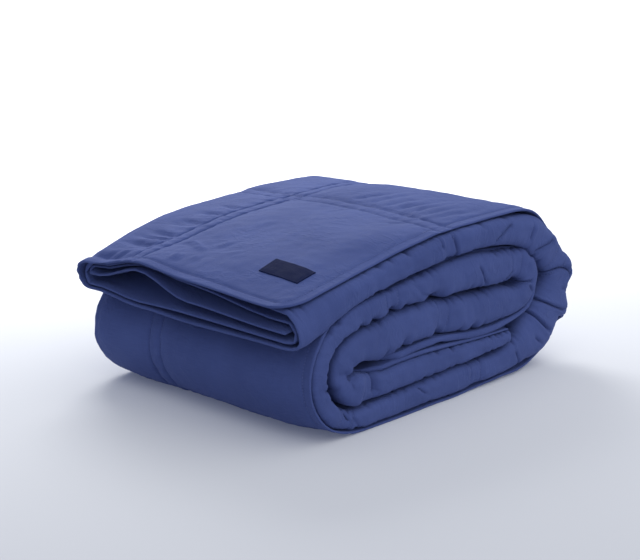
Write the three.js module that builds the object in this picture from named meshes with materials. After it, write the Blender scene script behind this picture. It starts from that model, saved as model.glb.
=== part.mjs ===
// A quilted coverlet, folded lengthwise into a strip of six plies and wound into a flat roll.
// Millimetres, Z up. The strip's width lies along Y and the roll is wound around Y.

import * as THREE from 'three';

const { lerp, clamp, smoothstep, degToRad } = THREE.MathUtils;

// Strip of folded cloth
const STRIP_WIDTH = 380;
const PLY_COUNT = 6;
const FILL_SHARE = 0.72;
const FOLD_ROUNDNESS = 0.88;
const ARC_STEPS = { wide: 6, middle: 3, narrow: 2 };

// Hems: thinner than the quilted cloth, with a row of topstitching
const HEM_SETBACK = { loose: 12, inner: 3, skewLength: 1000 };
const HEM_WIDTH = 12;
const HEM_HALF_THICKNESS = 1.6;
const CORNER_RADIUS = 40;

// Quilting: double rows of stitches in near squares, counted from a start behind the loose end's hem
const QUILT_PITCH = { along: 236, across: 266 };
const QUILT_START = 34;
const QUILT_HALF_WIDTH = 10;
const QUILT_PINCH = 0.5;
const STRIP_PINCH = 0.94;

// Sewn-on label near the rounded corner
const LABEL = { start: 52, end: 83, front: 33, back: 94, thickness: 1, gap: 0.3 };

// The roll swells towards the middle of its width and sinks towards its back, and its outermost ply
// puffs up behind its hem
const CROWN = 0.01;
const DROOP = { share: 0.033, start: 190, end: 370 };
const PUFF = { height: 6, start: 10, end: 70 };
const PUFFED_STRETCHES = [
  { from: 0, to: 170, ramp: 130 },
  { from: 990, to: 1035, ramp: 55 },
];

// Length of the loose end over which the plies stand open
const OPEN_LENGTH = 100;

// Spacing of the sections along the strip
const STEP_LENGTH = 105;
const STEP_ANGLE = degToRad(38);
const SAMPLE_COUNT = 2400;

// The winding seen from the front, from the loose end inwards: the middle of the strip (x from the
// loose end, z from the floor) and the thickness of its six plies. A row with a turn is part of an ellipse.
const WINDING = [
  { x: 0, z: 153, thick: 48 },
  { x: 47, z: 159.5, thick: 39 },
  { x: 97, z: 169.5, thick: 36 },
  { x: 157, z: 181.5, thick: 35 },
  { x: 222, z: 190.5, thick: 35 },
  { x: 287, z: 196.5, thick: 37.5 },
  { x: 340, z: 197.5, thick: 39 },
  { x: 380, z: 195, thick: 42 },
  { x: 417, z: 187, thick: 45 },
  { x: 459, z: 159, thick: 47 },
  { x: 489, z: 120, thick: 49 },
  { x: 390, z: 109, thick: 68, turn: { side: 1, reach: 91, rise: 80, from: -26, to: -60 } },
  { x: 390, z: 23.5, thick: 46 },
  { x: 297, z: 18.2, thick: 40 },
  { x: 197, z: 16.7, thick: 36 },
  { x: 147, z: 15.1, thick: 32.4 },
  { x: 107, z: 77, thick: 30, turn: { side: -1, reach: 68, rise: 62, from: -90, to: 84 } },
  { x: 147, z: 144.8, thick: 30 },
  { x: 207, z: 151.2, thick: 33 },
  { x: 267, z: 152.5, thick: 42 },
  { x: 327, z: 152, thick: 46 },
  { x: 376, z: 148.5, thick: 43.5 },
  { x: 404, z: 122, thick: 40.5, turn: { side: 1, reach: 25, rise: 25, from: 78, to: -84 } },
  { x: 376, z: 96, thick: 52 },
  { x: 332, z: 95.5, thick: 56 },
  { x: 277, z: 100.5, thick: 54 },
  { x: 207, z: 104, thick: 57 },
  { x: 147, z: 101, thick: 53 },
  { x: 108, z: 77, thick: 39.5, turn: { side: -1, reach: 25, rise: 24, from: 84, to: -84 } },
  { x: 137, z: 52.5, thick: 38 },
  { x: 172, z: 54.5, thick: 39 },
  { x: 237, z: 56, thick: 36 },
  { x: 317, z: 55, thick: 28 },
  { x: 387, z: 57, thick: 18.5 },
];
const TURN_STEP_DEG = 40;

// Plies from the outside of the strip inwards, with their heights over the middle of the strip at the
// loose end, at four places across its width, and how far each is set back from that end.
const LOOSE_END = [
  { ply: 'top', front: 17, middle: 20, crest: 22, back: 9, setback: 0 },
  { ply: 'second', front: 10, middle: 12.5, crest: 14, back: 3, setback: 16 },
  { ply: 'third', front: 3.5, middle: 6, crest: 9, back: -3, setback: 20 },
  { ply: 'wavy', front: -12, middle: -18, crest: 3, back: -9, setback: 4 },
  { ply: 'fifth', front: -22, middle: -29, crest: -25, back: -15, setback: 2 },
  { ply: 'lowest', front: -31, middle: -40, crest: -35, back: -21, setback: 0 },
];
const PLACES = { front: 30, middle: 140, crest: 255, back: 345 };

// Distances from the front hem of points across the top ply: hem, topstitching, label, open field,
// quilting line and field again
const TOP_PLY_PLACES = [
  0,
  HEM_WIDTH,
  LABEL.front,
  (LABEL.front + LABEL.back) / 2,
  LABEL.back,
  140,
  200,
  QUILT_PITCH.across - QUILT_HALF_WIDTH,
  QUILT_PITCH.across,
  QUILT_PITCH.across + QUILT_HALF_WIDTH,
  315,
];
const INNER_PLACES = [140, 255];

const CLOTH = new THREE.MeshStandardMaterial({ color: 0x4a5687, roughness: 0.85, metalness: 0 });
const LABEL_CLOTH = new THREE.MeshStandardMaterial({ color: 0x1b2140, roughness: 0.8, metalness: 0 });

// Knots of the winding, with each turn spread into points on its ellipse
function windingKnots() {
  const knots = [];
  for (const { x, z, thick, turn } of WINDING) {
    if (!turn) {
      knots.push([x, z, thick]);
      continue;
    }
    const steps = Math.round(Math.abs(turn.to - turn.from) / TURN_STEP_DEG);
    for (let i = 0; i <= steps; i += 1) {
      const angle = degToRad(lerp(turn.from, turn.to, i / steps));
      knots.push([x + turn.side * turn.reach * Math.cos(angle), z + turn.rise * Math.sin(angle), thick]);
    }
  }
  return knots;
}

// Second derivatives of a natural cubic spline through the values at rising parameters
function splineCurvature(params, values) {
  const last = params.length - 1;
  const ratio = new Array(last + 1).fill(0);
  const bend = new Array(last + 1).fill(0);
  for (let i = 1; i < last; i += 1) {
    const before = params[i] - params[i - 1];
    const after = params[i + 1] - params[i];
    const slopeChange = (values[i + 1] - values[i]) / after - (values[i] - values[i - 1]) / before;
    const pivot = 2 * (before + after) - before * ratio[i - 1];
    ratio[i] = after / pivot;
    bend[i] = (6 * slopeChange - before * bend[i - 1]) / pivot;
  }
  for (let i = last - 1; i > 0; i -= 1) {
    bend[i] -= ratio[i] * bend[i + 1];
  }
  return bend;
}

// Value of that spline inside the span that starts at knot i
function splineValue(params, values, bend, i, t) {
  const span = params[i + 1] - params[i];
  const a = (params[i + 1] - t) / span;
  const b = 1 - a;
  const cubic = ((a ** 3 - a) * bend[i] + (b ** 3 - b) * bend[i + 1]) * (span ** 2 / 6);
  return a * values[i] + b * values[i + 1] + cubic;
}

// Close samples of the winding: distance along the strip, place, thickness and heading
function sampleWinding() {
  const knots = windingKnots();
  const params = [0];
  for (let i = 1; i < knots.length; i += 1) {
    params.push(params[i - 1] + Math.hypot(knots[i][0] - knots[i - 1][0], knots[i][1] - knots[i - 1][1]));
  }
  const columns = [0, 1, 2].map((c) => knots.map((knot) => knot[c]));
  const bends = columns.map((values) => splineCurvature(params, values));
  const samples = [];
  let span = 0;
  for (let k = 0; k <= SAMPLE_COUNT; k += 1) {
    const t = (params[params.length - 1] * k) / SAMPLE_COUNT;
    while (span < params.length - 2 && t > params[span + 1]) {
      span += 1;
    }
    const [x, z, thick] = columns.map((values, c) => splineValue(params, values, bends[c], span, t));
    samples.push({ s: 0, x, z, thick, heading: 0 });
  }
  for (let k = 1; k < samples.length; k += 1) {
    const { x, z, s } = samples[k - 1];
    samples[k].s = s + Math.hypot(samples[k].x - x, samples[k].z - z);
  }
  for (let k = 0; k < samples.length; k += 1) {
    const before = samples[Math.max(k - 1, 0)];
    const after = samples[Math.min(k + 1, samples.length - 1)];
    samples[k].heading = Math.atan2(after.z - before.z, after.x - before.x);
  }
  return samples;
}

const SAMPLES = sampleWinding();
const STRIP_LENGTH = SAMPLES[SAMPLES.length - 1].s;
const LAST_LINE = STRIP_LENGTH - QUILT_PITCH.along / 4;

// Difference of two headings, between minus and plus half a turn
function turned(from, to) {
  return Math.atan2(Math.sin(to - from), Math.cos(to - from));
}

// The strip at a distance from its loose end
function stripAt(s) {
  const found = SAMPLES.findIndex((sample) => sample.s >= s);
  const i = clamp(found < 0 ? SAMPLES.length - 1 : found, 1, SAMPLES.length - 1);
  const before = SAMPLES[i - 1];
  const after = SAMPLES[i];
  const t = clamp((s - before.s) / (after.s - before.s), 0, 1);
  return {
    s,
    x: lerp(before.x, after.x, t),
    z: lerp(before.z, after.z, t),
    thick: lerp(before.thick, after.thick, t),
    heading: before.heading + t * turned(before.heading, after.heading),
  };
}

// Distances that need a section: hems, label, both sides and the middle of each quilting line
function fixedDistances() {
  const fixed = [0, HEM_WIDTH, LABEL.start, (LABEL.start + LABEL.end) / 2, LABEL.end];
  for (let line = QUILT_START + QUILT_PITCH.along; line < LAST_LINE; line += QUILT_PITCH.along) {
    fixed.push(line - QUILT_HALF_WIDTH, line, line + QUILT_HALF_WIDTH);
  }
  fixed.push(STRIP_LENGTH - HEM_WIDTH, STRIP_LENGTH);
  return fixed;
}

// Sections along the strip: the fixed ones, and between them as many as length and bending ask for
function sectionDistances() {
  const fixed = fixedDistances();
  const distances = [0];
  for (let i = 1; i < fixed.length; i += 1) {
    const inside = SAMPLES.filter(({ s }) => s >= fixed[i - 1] && s <= fixed[i]);
    const costs = [0];
    for (let k = 1; k < inside.length; k += 1) {
      const bend = Math.abs(turned(inside[k - 1].heading, inside[k].heading)) / STEP_ANGLE;
      costs.push(costs[k - 1] + (inside[k].s - inside[k - 1].s) / STEP_LENGTH + bend);
    }
    const total = costs[costs.length - 1];
    const pieces = Math.max(1, Math.round(total));
    for (let piece = 1; piece < pieces; piece += 1) {
      distances.push(inside[costs.findIndex((cost) => cost >= (total * piece) / pieces)].s);
    }
    distances.push(fixed[i]);
  }
  return distances;
}

// How far a place on a quilting line draws the cloth in, from 0 beside the line to 1 on it
function quiltDepth(distance) {
  const past = distance - QUILT_START;
  const line = Math.round(past / QUILT_PITCH.along);
  const inCloth = line > 0 && distance < LAST_LINE;
  const aside = Math.abs(past - line * QUILT_PITCH.along) / QUILT_HALF_WIDTH;
  return inCloth ? 1 - smoothstep(aside, 0, 1) : 0;
}

// How far the top ply puffs up at a place, from nothing at its hem
function puffHeight(s, y) {
  const shares = PUFFED_STRETCHES.map(({ from, to, ramp }) => {
    const begun = smoothstep(s, from - ramp, from);
    return begun * (1 - smoothstep(s, to, to + ramp));
  });
  return PUFF.height * Math.max(...shares) * smoothstep(y, PUFF.start, PUFF.end);
}

// Height of a ply over the middle of the strip at a place across its width
function plyHeight(strip, ply, y) {
  const pitch = strip.thick / PLY_COUNT;
  const level = (PLY_COUNT / 2 - 0.5 - ply) * pitch;
  const packed = ply === 0 ? level + puffHeight(strip.s, y) : level;
  const open = 1 - smoothstep(strip.s, 0, OPEN_LENGTH);
  const row = LOOSE_END[ply];
  let loose = row.front;
  loose = lerp(loose, row.middle, smoothstep(y, PLACES.front, PLACES.middle));
  loose = lerp(loose, row.crest, smoothstep(y, PLACES.middle, PLACES.crest));
  loose = lerp(loose, row.back, smoothstep(y, PLACES.crest, PLACES.back));
  return lerp(packed, loose, open);
}

// Half of the cloth's thickness at a section
function halfThickness(strip) {
  const filled = (FILL_SHARE * strip.thick) / PLY_COUNT / 2;
  const fromEnd = Math.min(strip.s, STRIP_LENGTH - strip.s);
  const hemmed = Math.min(HEM_HALF_THICKNESS, filled);
  const half = lerp(hemmed, filled, smoothstep(fromEnd, HEM_WIDTH / 2, 5 * HEM_WIDTH));
  return half * lerp(1, QUILT_PINCH, quiltDepth(strip.s));
}

// Front hem of the top ply: the cloth lies a little askew in its folds
function hemPlace(s) {
  return lerp(HEM_SETBACK.loose, HEM_SETBACK.inner, clamp(s / HEM_SETBACK.skewLength, 0, 1));
}

// A distance from the hem, pushed back where the corner at the loose end is rounded off
function cornered(s, distance) {
  const inside = clamp(1 - s / CORNER_RADIUS, 0, 1);
  const cut = CORNER_RADIUS * (1 - Math.sqrt(1 - inside ** 2));
  return distance < LABEL.back ? lerp(cut, LABEL.back, distance / LABEL.back) : distance;
}

// The cloth's middle line through one section, as points across (y) and over (n) the strip
function sectionLine(strip) {
  const pitch = strip.thick / PLY_COUNT;
  const half = halfThickness(strip);
  const points = [];
  const backEdge = STRIP_WIDTH - half;

  function addPlace(ply, y) {
    points.push({ y, n: plyHeight(strip, ply, y), half, setback: LOOSE_END[ply].setback });
  }

  // A fold from one ply to another: half an ellipse that bulges to the back (+1) or the front (-1)
  function addFold(from, to, side, edge, steps) {
    const depth = foldDepth(from, to);
    const start = edge - side * depth;
    const top = plyHeight(strip, from, start);
    const bottom = plyHeight(strip, to, start);
    for (let i = 0; i <= steps; i += 1) {
      const angle = (Math.PI * i) / steps;
      points.push({
        y: start + side * depth * Math.sin(angle),
        n: (top + bottom) / 2 + ((top - bottom) / 2) * Math.cos(angle),
        half,
        setback: lerp(LOOSE_END[from].setback, LOOSE_END[to].setback, i / steps),
      });
    }
  }

  function foldDepth(from, to) {
    return (FOLD_ROUNDNESS * Math.abs(to - from) * pitch) / 2;
  }

  for (const distance of TOP_PLY_PLACES) {
    addPlace(0, hemPlace(strip.s) + cornered(strip.s, distance));
  }
  const edge = points[0];
  edge.half = Math.min(HEM_HALF_THICKNESS, half);
  points[1].half = edge.half;
  const line = points[TOP_PLY_PLACES.indexOf(QUILT_PITCH.across)];
  line.half *= QUILT_PINCH;
  addFold(0, 5, 1, backEdge, ARC_STEPS.wide);
  [...INNER_PLACES].reverse().forEach((place) => addPlace(5, place));
  addFold(5, 1, -1, half, ARC_STEPS.wide);
  INNER_PLACES.forEach((place) => addPlace(1, place));
  addFold(1, 4, 1, backEdge - pitch, ARC_STEPS.middle);
  [...INNER_PLACES].reverse().forEach((place) => addPlace(4, place));
  addFold(4, 2, -1, half + pitch, ARC_STEPS.middle);
  INNER_PLACES.forEach((place) => addPlace(2, place));
  addFold(2, 3, 1, backEdge - 2 * pitch, ARC_STEPS.narrow);
  [...INNER_PLACES].reverse().forEach((place) => addPlace(3, place));
  addPlace(3, half + 2.6 * pitch);
  return points;
}

// Closed outline of the cloth in one section: its outer face out, then its inner face back
function sectionOutline(strip) {
  const line = sectionLine(strip);
  const outer = [];
  const inner = [];
  line.forEach((point, i) => {
    const before = line[Math.max(i - 1, 0)];
    const after = line[Math.min(i + 1, line.length - 1)];
    const along = new THREE.Vector2(after.y - before.y, after.n - before.n).normalize();
    const { y, n, half, setback } = point;
    outer.push({ y: y - along.y * half, n: n + along.x * half, setback });
    inner.push({ y: y + along.y * half, n: n - along.x * half, setback });
  });
  return [...outer, ...inner.reverse()];
}

// Place of an outline point in the roll, with the swell across its width and flat on the floor
function placed(strip, { y, n, setback }) {
  const pinch = lerp(1, STRIP_PINCH, quiltDepth(strip.s));
  const shift = setback * (1 - smoothstep(strip.s, 0, OPEN_LENGTH / 2));
  const across = (2 * y) / STRIP_WIDTH - 1;
  const crown = CROWN * (1 - Math.min(1, across ** 2));
  const swell = 1 + crown - DROOP.share * smoothstep(y, DROOP.start, DROOP.end);
  const x = strip.x - Math.sin(strip.heading) * n * pinch + Math.cos(strip.heading) * shift;
  const z = strip.z + Math.cos(strip.heading) * n * pinch + Math.sin(strip.heading) * shift;
  return [x, y, Math.max(0, z * swell)];
}

// A closed solid through rings of points, with its two ends filled by the given triangles
function loftedSolid(rings, endTriangles) {
  const size = rings[0].length;
  const index = [];
  for (let r = 0; r + 1 < rings.length; r += 1) {
    for (let i = 0; i < size; i += 1) {
      const next = (i + 1) % size;
      const [a, b] = [r * size + i, r * size + next];
      const [c, d] = [a + size, b + size];
      index.push(a, c, b, b, c, d);
    }
  }
  const lastRing = (rings.length - 1) * size;
  for (const [a, b, c] of endTriangles.first) {
    index.push(a, c, b);
  }
  for (const [a, b, c] of endTriangles.last) {
    index.push(lastRing + a, lastRing + b, lastRing + c);
  }
  const geometry = new THREE.BufferGeometry();
  geometry.setAttribute('position', new THREE.Float32BufferAttribute(rings.flat(2), 3));
  geometry.setIndex(index);
  geometry.computeVertexNormals();
  return geometry;
}

// Triangles that fill an outline
function fillTriangles(outline) {
  return THREE.ShapeUtils.triangulateShape(outline.map(({ y, n }) => new THREE.Vector2(y, n)), []);
}

function coverletMesh(distances) {
  const strips = distances.map(stripAt);
  const outlines = strips.map(sectionOutline);
  const rings = outlines.map((outline, i) => outline.map((point) => placed(strips[i], point)));
  const ends = { first: fillTriangles(outlines[0]), last: fillTriangles(outlines[outlines.length - 1]) };
  const mesh = new THREE.Mesh(loftedSolid(rings, ends), CLOTH);
  mesh.name = 'coverlet';
  return { mesh, rings };
}

// The label lies on the faces of the top ply between its sections, a small gap above them
function labelMesh(distances, rings) {
  const first = distances.indexOf(LABEL.start);
  const last = distances.indexOf(LABEL.end);
  const front = TOP_PLY_PLACES.indexOf(LABEL.front);
  const back = TOP_PLY_PLACES.indexOf(LABEL.back);
  const labelRings = [];
  for (let r = first; r <= last; r += 1) {
    const strip = stripAt(distances[r]);
    const up = [-Math.sin(strip.heading), 0, Math.cos(strip.heading)];
    const under = rings[r].slice(front, back + 1);
    const lift = (amount) => under.map((point) => point.map((value, axis) => value + up[axis] * amount));
    labelRings.push([...lift(LABEL.gap + LABEL.thickness), ...lift(LABEL.gap).reverse()]);
  }
  const size = labelRings[0].length;
  const strips = [];
  for (let i = 0; i + 1 < size / 2; i += 1) {
    strips.push([i, size - 2 - i, i + 1]);
    strips.push([i, size - 1 - i, size - 2 - i]);
  }
  const mesh = new THREE.Mesh(loftedSolid(labelRings, { first: strips, last: strips }), LABEL_CLOTH);
  mesh.name = 'label';
  return mesh;
}

function buildRoll() {
  const distances = sectionDistances();
  const { mesh, rings } = coverletMesh(distances);
  const roll = new THREE.Group();
  roll.add(mesh, labelMesh(distances, rings));
  const box = new THREE.Box3().setFromObject(mesh);
  const centre = box.getCenter(new THREE.Vector3());
  roll.position.set(-centre.x, -centre.y, -box.min.z);
  return roll;
}

export default buildRoll();
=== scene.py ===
"""A quilted coverlet, folded lengthwise into a strip of six plies and wound into a flat roll.

Sizes are in millimetres, as in the solids, and become metres where something is put in the scene. A
place on the cloth is given by s, the distance along the strip from its loose end, and v, the distance
from the hem at the front of the roll. A level on a fold is -1 on the inner side of the strip and 1 on
its outer side.
"""

import math
from collections import namedtuple
from types import SimpleNamespace as Values

import bpy
import numpy as np
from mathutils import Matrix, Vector


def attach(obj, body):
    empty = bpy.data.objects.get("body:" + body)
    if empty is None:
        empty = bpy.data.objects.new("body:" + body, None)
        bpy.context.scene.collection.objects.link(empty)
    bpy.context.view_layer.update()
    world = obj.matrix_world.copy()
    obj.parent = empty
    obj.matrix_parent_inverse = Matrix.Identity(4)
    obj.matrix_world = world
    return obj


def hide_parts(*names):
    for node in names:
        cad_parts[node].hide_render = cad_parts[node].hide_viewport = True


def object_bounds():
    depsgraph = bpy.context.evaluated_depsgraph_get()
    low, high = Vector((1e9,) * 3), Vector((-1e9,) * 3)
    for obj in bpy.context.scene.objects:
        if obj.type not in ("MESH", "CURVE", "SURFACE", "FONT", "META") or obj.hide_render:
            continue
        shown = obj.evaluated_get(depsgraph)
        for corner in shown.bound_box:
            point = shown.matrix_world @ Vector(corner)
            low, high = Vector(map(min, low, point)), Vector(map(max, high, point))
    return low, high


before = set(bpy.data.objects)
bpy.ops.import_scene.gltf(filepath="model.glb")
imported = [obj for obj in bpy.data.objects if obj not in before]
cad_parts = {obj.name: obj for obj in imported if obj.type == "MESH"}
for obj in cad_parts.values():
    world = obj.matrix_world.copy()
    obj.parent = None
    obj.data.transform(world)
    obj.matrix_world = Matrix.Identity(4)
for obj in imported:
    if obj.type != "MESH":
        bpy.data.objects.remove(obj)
CAD_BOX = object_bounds()
CAD_LOW, CAD_HIGH = CAD_BOX

METRES = 0.001
TINY = 1e-9

# Strip of folded cloth
STRIP_WIDTH = round((CAD_HIGH[1] - CAD_LOW[1]) / METRES, 1)
PLY_COUNT = 6
FILL_SHARE = 0.93
CROWN = 0.01
DROOP = Values(share=0.033, start=190.0, end=370.0)
OPEN_LENGTH = 100.0
ORIGIN_FROM_LOOSE_END = 255.38
# The strip lies on the outside of the roll up to this place, and is wound inside from there
OUTER_END = 1110.0
OUTER_FADE = 60.0

# Folds at the edges of the strip
FOLD_ROUNDNESS = 0.88
# Flatness of the folds in the open end of the strip and in its packed length
FOLD_FLATNESS = (2.0, 3.4)
FOLD_SAMPLES = 400
# Share of the outer folds' creases that the folds inside them have, and the inset of those that have none
INNER_DRAW = 0.8
INNERMOST_INSET = 2

# Hems
HEM_WIDTH = 12.0
HEM_STITCH = 11.5
HEM_SEAM_DEPTH = 1.4
HEM_HALF_THICKNESS = 1.6
HEM_ROUND_REACH = 1.4 * HEM_HALF_THICKNESS
EDGE_HALF_THICKNESS = 0.2
CORNER_RADIUS = 40.0
# Distances from a hem over which the cloth grows to its full thickness
FRONT_FILL = (HEM_WIDTH, 4.0 * HEM_WIDTH)
END_FILL = (HEM_WIDTH / 2.0, 5.0 * HEM_WIDTH)
# The front hem lies flat up to the first quilting line
FLAT_HEM = Values(share=0.3, start=240.0, end=300.0)
HEM_WAVE = Values(height=0.8, pitch=34.0, row=0.5)
# Places along the strip, and how far the front hem is set back from the strip's edge there
HEM_PLACES = (
    (0, 12), (430, 10), (565, 10), (588, 13), (625, 13), (660, 6), (1000, 3), (1100, 3),
    (1160, 18), (1460, 18), (1520, 4), (1765, 4), (1795, 22), (1920, 22), (1950, 5), (2300, 5),
)
# Where the fold at the front swells up over the hem that lies behind it
Swollen = namedtuple("Swollen", "start full end gone share")
SWOLLEN_STRETCHES = (
    Swollen(395, 450, 600, 650, 1.2),
    Swollen(504, 522, 525, 536, 1.3),
    Swollen(546, 559, 562, 574, 1.3),
    Swollen(1100, 1160, 1460, 1520, 0.8),
    Swollen(1765, 1795, 1920, 1950, 0.8),
)
# Where the hem stands out from the large turn
HEM_FLARE_WIDTH = 60.0
HemFlare = namedtuple("HemFlare", "s height width")
HEM_FLARES = (
    HemFlare(435, 7, 36),
    HemFlare(529, 12, 6),
    HemFlare(540, 7.5, 42),
    HemFlare(566, 10, 6),
    HemFlare(605, 5, 36),
)

# Quilting: double rows of stitches in near squares
QUILT_ALONG = 236.0
QUILT_START = 34.0
QUILT_ACROSS = 266.0
QUILT_SKEW = Values(shift=10.0, width=140.0)
ROW_OFFSET = 10.0
ROW_DEPTH = 3.2
ROW_WIDTH = 1.4
QUILT_HALF_WIDTH = 18.0
QUILT_PINCH = 0.8
STRIP_PINCH = 0.97
# End of the part of the outermost ply that is placed by its distance from the hem
TOP_FIELD_END = 312.0
LINE_DRIFT = Values(shift=-8.0, start=400.0, end=1000.0, band=(150.0, 250.0, 280.0, TOP_FIELD_END))

# Label
LABEL = Values(start=52.0, end=83.0, front=33.0, back=94.0, thickness=0.9, gap=0.3)

# Puff of the outermost ply behind its hem, and the stretches over which it rises, lasts and falls
PUFF = Values(height=6.0, start=10.0, end=70.0)
PUFFED_STRETCHES = ((-130, 0, 170, 300), (935, 990, 1035, 1090))

# The winding from the loose end inwards: middle of the strip and its thickness. A turn is part of an
# ellipse.
Run = namedtuple("Run", "x z thick")
Turn = namedtuple("Turn", "x z thick side reach rise start end")
WINDING = (
    Run(0, 153, 48),
    Run(47, 159.5, 39),
    Run(97, 169.5, 36),
    Run(157, 181.5, 35),
    Run(222, 190.5, 35),
    Run(287, 196.5, 37.5),
    Run(340, 197.5, 39),
    Run(380, 195, 42),
    Run(417, 187, 45),
    Run(459, 159, 47),
    Run(489, 120, 49),
    Turn(390, 109, 68, 1, 91, 80, -26, -60),
    Run(390, 23.5, 46),
    Run(297, 18.2, 40),
    Run(197, 16.7, 36),
    Run(147, 15.1, 32.4),
    Turn(107, 77, 30, -1, 68, 62, -90, 84),
    Run(147, 144.8, 30),
    Run(207, 151.2, 33),
    Run(267, 152.5, 42),
    Run(327, 152, 46),
    Run(376, 148.5, 43.5),
    Turn(404, 122, 40.5, 1, 25, 25, 78, -84),
    Run(376, 96, 52),
    Run(332, 95.5, 56),
    Run(277, 100.5, 54),
    Run(207, 104, 57),
    Run(147, 101, 53),
    Turn(108, 77, 39.5, -1, 25, 24, 84, -84),
    Run(137, 52.5, 38),
    Run(172, 54.5, 39),
    Run(237, 56, 36),
    Run(317, 55, 28),
    Run(387, 57, 18.5),
)
TURN_STEP_DEG = 40.0
PATH_SAMPLES = 6000

# Plies from the outside of the strip inwards: heights over the middle of the strip at the loose end, at
# four places across its width, and how far each is set back from that end
LoosePly = namedtuple("LoosePly", "front middle crest back setback")
LOOSE_END = (
    LoosePly(12, 17, 27, 12, 0),
    LoosePly(7.5, 12.5, 22.8, 7.5, 10),
    LoosePly(-7, 7, 18.6, 3, 12),
    LoosePly(-17, -12, 14, -4, 4),
    LoosePly(-26.5, -26, -26, -17, 2),
    LoosePly(-33.5, -36, -32, -22, 0),
)
LOOSE_PLACES = Values(front=45.0, middle=185.0, crest=268.0, back=345.0)
# The front folds reach further and sag where the plies stand open
LOOSE_FOLD = Values(reach=1.9, sag=0.45)

# The cloth's line through one section, in its order from the front hem to the free hem inside
BACK, FRONT = 1, -1
Ply = namedtuple("Ply", "number points")
Fold = namedtuple("Fold", "first second side inset points")
CLOTH_LINE = (
    Fold(0, 5, BACK, 0, 20),
    Ply(5, 14),
    Fold(5, 1, FRONT, 0, 26),
    Ply(1, 9),
    Fold(1, 4, BACK, 1, 8),
    Ply(4, 14),
    Fold(4, 2, FRONT, 1, 12),
    Ply(2, 10),
    Fold(2, 3, BACK, 2, 6),
    Ply(3, 18),
)


# Soft steps, peaks and noise

SEED = 7
NOISE_CELLS = 256
NOISE_GAIN = 1.45
LAYER_SHIFT = (31, 57)
ANGLES = np.random.default_rng(SEED).uniform(0.0, 2.0 * math.pi, (NOISE_CELLS, NOISE_CELLS))


def lerp(a, b, t):
    return a + (b - a) * t


def smooth(value, low, high):
    """Soft step from 0 at low to 1 at high."""
    t = np.clip((value - low) / (high - low), 0.0, 1.0)
    return t * t * (3.0 - 2.0 * t)


def plateau(value, low, full, end, gone):
    """Soft rise from 0 at low to 1 at full, and fall from 1 at end to 0 at gone."""
    return smooth(value, low, full) * (1.0 - smooth(value, end, gone))


def stretch(value, low, high, edge):
    """1 between low and high, with a soft edge at each."""
    return plateau(value, low - edge, low + edge, high - edge, high + edge)


def bell(gap, width):
    """Round peak of 1 where there is no gap."""
    return np.exp(-((gap / width) ** 2))


def cusp(gap, width):
    """Sharp peak of 1 where there is no gap."""
    return np.exp(-np.abs(gap) / width)


def quarter_circle(share):
    """Rounded rise from 0 to 1, which is reached at a share of 1."""
    return np.sqrt(1.0 - np.clip(1.0 - share, 0.0, 1.0) ** 2)


def running_sum(steps):
    """Running total of steps, from 0."""
    return np.concatenate([[0.0], np.cumsum(steps)])


def fade(t):
    """Step from 0 to 1 that is level at both ends."""
    return t ** 3 * (t * (6.0 * t - 15.0) + 10.0)


def noise(a, b, layer):
    """Soft noise between about -1 and 1, with one cell for each unit of a and b."""
    a, b = np.broadcast_arrays(np.asarray(a, float), np.asarray(b, float))
    i, j = np.floor(a).astype(int), np.floor(b).astype(int)
    da, db = a - i, b - j

    def corner(di, dj):
        row = (i + di + LAYER_SHIFT[0] * layer) % NOISE_CELLS
        column = (j + dj + LAYER_SHIFT[1] * layer) % NOISE_CELLS
        angle = ANGLES[row, column]
        return np.cos(angle) * (da - di) + np.sin(angle) * (db - dj)

    near = lerp(corner(0, 0), corner(1, 0), fade(da))
    far = lerp(corner(0, 1), corner(1, 1), fade(da))
    return NOISE_GAIN * lerp(near, far, fade(db))


# Winding

def winding_knots():
    """Points of the winding, with each turn spread into points on its ellipse."""
    knots = []
    for row in WINDING:
        if isinstance(row, Run):
            knots.append(row)
            continue
        steps = round(abs(row.end - row.start) / TURN_STEP_DEG)
        for angle in np.radians(np.linspace(row.start, row.end, steps + 1)):
            x = row.x + row.side * row.reach * math.cos(angle)
            knots.append((x, row.z + row.rise * math.sin(angle), row.thick))
    return np.array(knots, float)


def natural_spline(params, values, at):
    """Values at the given parameters of a natural cubic spline through the knots."""
    span = np.diff(params)
    slope = np.diff(values, axis=0) / span[:, None]
    system = np.eye(len(params))
    right = np.zeros_like(values)
    for i in range(1, len(params) - 1):
        system[i, i - 1:i + 2] = span[i - 1], 2.0 * (span[i - 1] + span[i]), span[i]
        right[i] = 6.0 * (slope[i] - slope[i - 1])
    bend = np.linalg.solve(system, right)
    i = np.clip(np.searchsorted(params, at) - 1, 0, len(span) - 1)
    a = ((params[i + 1] - at) / span[i])[:, None]
    b = 1.0 - a
    cubic = ((a ** 3 - a) * bend[i] + (b ** 3 - b) * bend[i + 1]) * (span[i] ** 2 / 6.0)[:, None]
    return a * values[i] + b * values[i + 1] + cubic


def sample_path():
    """Close samples of the winding: distance, x, z, thickness and heading."""
    knots = winding_knots()
    params = running_sum(np.hypot(*np.diff(knots[:, :2], axis=0).T))
    x, z, thick = natural_spline(params, knots, np.linspace(0.0, params[-1], PATH_SAMPLES)).T
    s = running_sum(np.hypot(np.diff(x), np.diff(z)))
    heading = np.unwrap(np.arctan2(np.gradient(z), np.gradient(x)))
    return s, x, z, thick, heading


PATH = sample_path()
STRIP_LENGTH = PATH[0][-1]
# No quilting line lies beyond this place
LAST_LINE = STRIP_LENGTH - QUILT_ALONG / 4.0


def strip_at(s):
    """x, z, thickness and heading of the strip at distances s."""
    return [np.interp(s, PATH[0], column) for column in PATH[1:]]


def outermost(s):
    """1 where the strip lies on the outside of the roll, 0 where it is wound inside."""
    return 1.0 - smooth(s, OUTER_END - OUTER_FADE, OUTER_END)


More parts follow.
